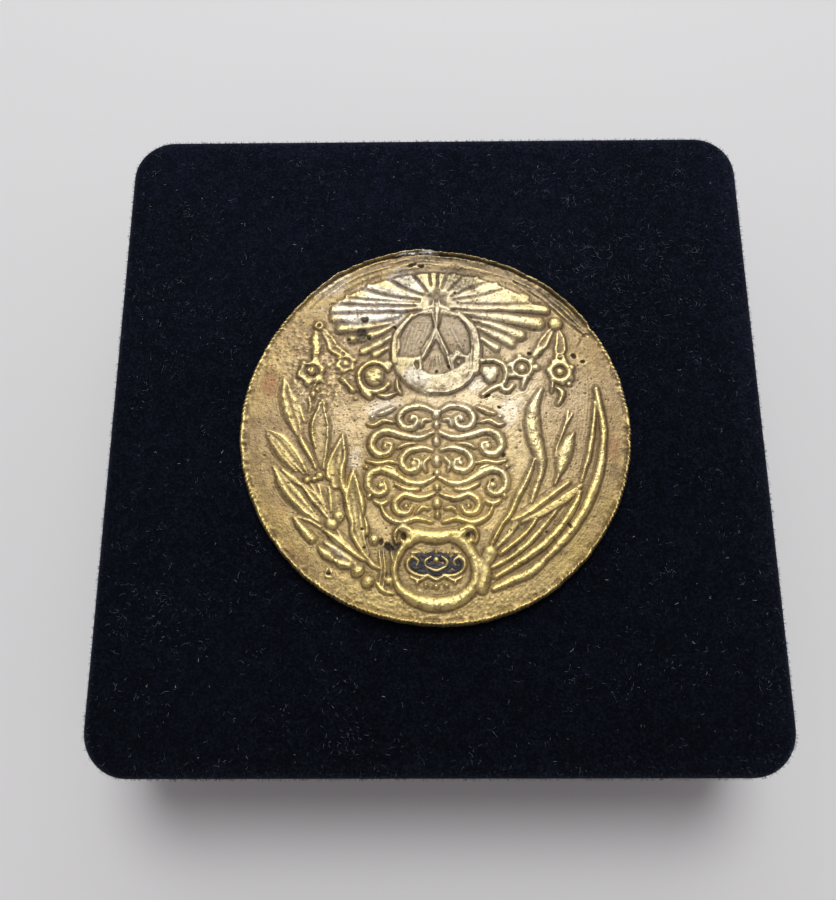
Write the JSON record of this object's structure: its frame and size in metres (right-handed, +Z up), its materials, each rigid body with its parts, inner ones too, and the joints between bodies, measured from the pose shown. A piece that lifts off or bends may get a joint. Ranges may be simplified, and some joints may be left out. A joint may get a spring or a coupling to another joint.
{
  "type": "challenge coin with presentation case",
  "caption": "Struck brass coin with sunburst, crescent, branches and oval cartouche, lying on a square velvet hinged presentation case with a round coin seat.",
  "frame": {"origin": "centre of the case's bottom face", "axes": "+Z up through the closed case and the coin, +Y towards the hinges at the back, +X to the right of the person who opens it"},
  "size_m": [0.0874, 0.0874, 0.0247],
  "materials": {
    "struck_brass": "old struck brass, worn bright on the high points, brown-grey in the field",
    "solder": "dull grey solder, chipped",
    "black_paint": "matt black paint, worn",
    "case_plastic": "moulded black plastic, fine grain",
    "case_velvet": "short-pile black velvet with pale lint",
    "card": "black card",
    "foam": "dark open foam",
    "satin": "off-white satin",
    "hinge_steel": "pressed nickel-plated steel",
    "rivet_steel": "plain steel",
    "spring_steel": "dark spring steel"
  },
  "bodies": {
    "base": {"base_shell": "case_plastic", "base_velvet": "case_velvet", "base_sheet": "card", "insert_board": "card", "insert_foam": "foam", "insert_velvet": "case_velvet", "base_rivets": "rivet_steel", "hinge_base_leaf_left": "hinge_steel", "hinge_base_leaf_right": "hinge_steel", "hinge_pin_left": "rivet_steel", "hinge_pin_right": "rivet_steel", "hinge_spring_left": "spring_steel", "hinge_spring_right": "spring_steel"},
    "lid": {"lid_shell": "case_plastic", "lid_velvet": "case_velvet", "lid_liner_board": "card", "lid_liner_pad": "satin", "lid_rivets": "rivet_steel", "hinge_lid_leaf_left": "hinge_steel", "hinge_lid_leaf_right": "hinge_steel"},
    "coin": {"coin": "struck_brass", "edge_solder": "solder", "cartouche_fill": "black_paint"}
  },
  "joints": [
    {"name": "lid_hinge", "type": "hinge", "parent": "base", "child": "lid", "pos_m": [0, 0.0425, 0.012], "axis": [-1, 0, 0], "range_deg": [0, 95]},
    {"name": "coin_lift", "type": "slide", "parent": "lid", "child": "coin", "axis": [0, 0, 1], "range_m": [0, 0.03]}
  ]
}
